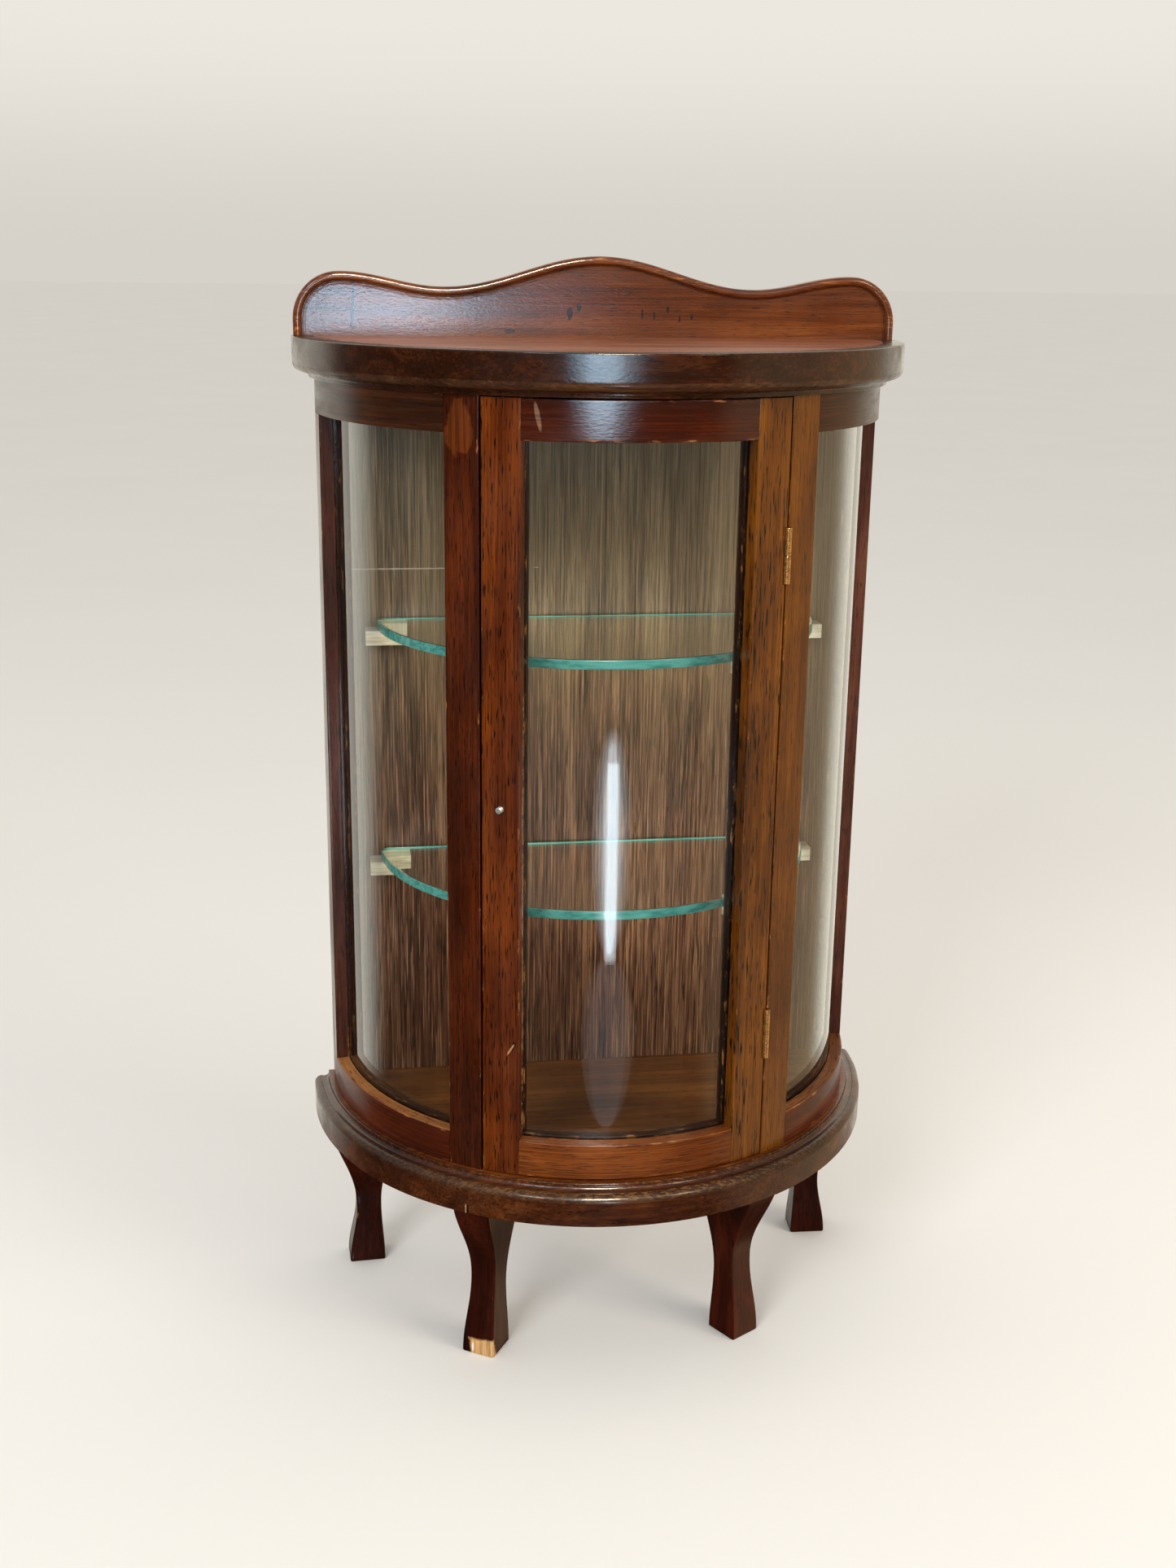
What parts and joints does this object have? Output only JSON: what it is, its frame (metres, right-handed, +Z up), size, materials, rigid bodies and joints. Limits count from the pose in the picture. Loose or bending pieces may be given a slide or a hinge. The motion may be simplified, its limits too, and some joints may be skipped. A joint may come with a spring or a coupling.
{
  "type": "half-round curio cabinet",
  "caption": "Half-round wooden tabletop display cabinet with a hinged bowed glass door, bowed glass sides, loose glass shelves, a scalloped crest and curved legs.",
  "frame": {"origin": "on the floor under the middle of the object's box", "axes": "+Z up, front and door towards -Y, +X to the right seen from the front"},
  "size_m": [0.4, 0.214, 0.724],
  "materials": {
    "mahogany": "satin lacquer over red-brown stain, worn edges",
    "dark_strip": "satin dark stain",
    "plywood": "coarse vertical grain, thin stain",
    "pale_wood": "bare wood",
    "window_glass": "clear polished",
    "shelf_glass": "clear with green polished edges",
    "brass": "worn",
    "steel": "plain",
    "catch_plastic": "matte"
  },
  "bodies": {
    "cabinet": {"top_board": "mahogany", "crest_board": "mahogany", "base_board": "mahogany", "back_panel": "plywood", "front_leg_left": "mahogany", "front_leg_right": "mahogany", "rear_leg_left": "mahogany", "rear_leg_right": "mahogany", "fixed_stile_left": "mahogany", "fixed_stile_right": "mahogany", "rear_post_left": "mahogany", "rear_post_right": "mahogany", "side_top_rail_left": "mahogany", "side_top_rail_right": "mahogany", "side_bottom_rail_left": "mahogany", "side_bottom_rail_right": "mahogany", "side_glass_left": "window_glass", "side_glass_right": "window_glass", "glass_strip_top_left": "dark_strip", "glass_strip_top_right": "dark_strip", "glass_strip_bottom_left": "dark_strip", "glass_strip_bottom_right": "dark_strip", "glass_strip_front_left": "dark_strip", "glass_strip_front_right": "dark_strip", "glass_strip_rear_left": "dark_strip", "glass_strip_rear_right": "dark_strip", "upper_hinge_frame_leaf": "brass", "upper_hinge_pin": "brass", "lower_hinge_frame_leaf": "brass", "lower_hinge_pin": "brass", "hinge_frame_screws": "steel", "door_catch": "catch_plastic", "upper_rear_cleats": "pale_wood", "lower_rear_cleats": "pale_wood", "upper_front_cleats": "pale_wood", "lower_front_cleats": "pale_wood", "leg_dowels": "pale_wood", "crest_dowels": "pale_wood", "stile_dowels": "pale_wood", "back_panel_tacks": "steel"},
    "door": {"door_stile_left": "mahogany", "door_stile_right": "mahogany", "door_top_rail": "mahogany", "door_bottom_rail": "mahogany", "door_glass": "window_glass", "door_strip_top": "dark_strip", "door_strip_bottom": "dark_strip", "door_strip_left": "dark_strip", "door_strip_right": "dark_strip", "upper_hinge_door_leaf": "brass", "lower_hinge_door_leaf": "brass", "hinge_door_screws": "steel", "knob_screw": "steel", "catch_strike_plate": "steel"},
    "shelf_above": {"upper_shelf": "shelf_glass"},
    "shelf_below": {"lower_shelf": "shelf_glass"}
  },
  "joints": [
    {"name": "door_hinge", "type": "hinge", "parent": "cabinet", "child": "door", "pos_m": [0.09273, -0.06893, 0.40075], "axis": [0, 0, 1], "range_deg": [0, 120]},
    {"name": "upper_shelf_lift", "type": "slide", "parent": "cabinet", "child": "shelf_above", "axis": [0, 0, 1], "range_m": [0, 0.03]},
    {"name": "lower_shelf_lift", "type": "slide", "parent": "cabinet", "child": "shelf_below", "axis": [0, 0, 1], "range_m": [0, 0.03]}
  ]
}
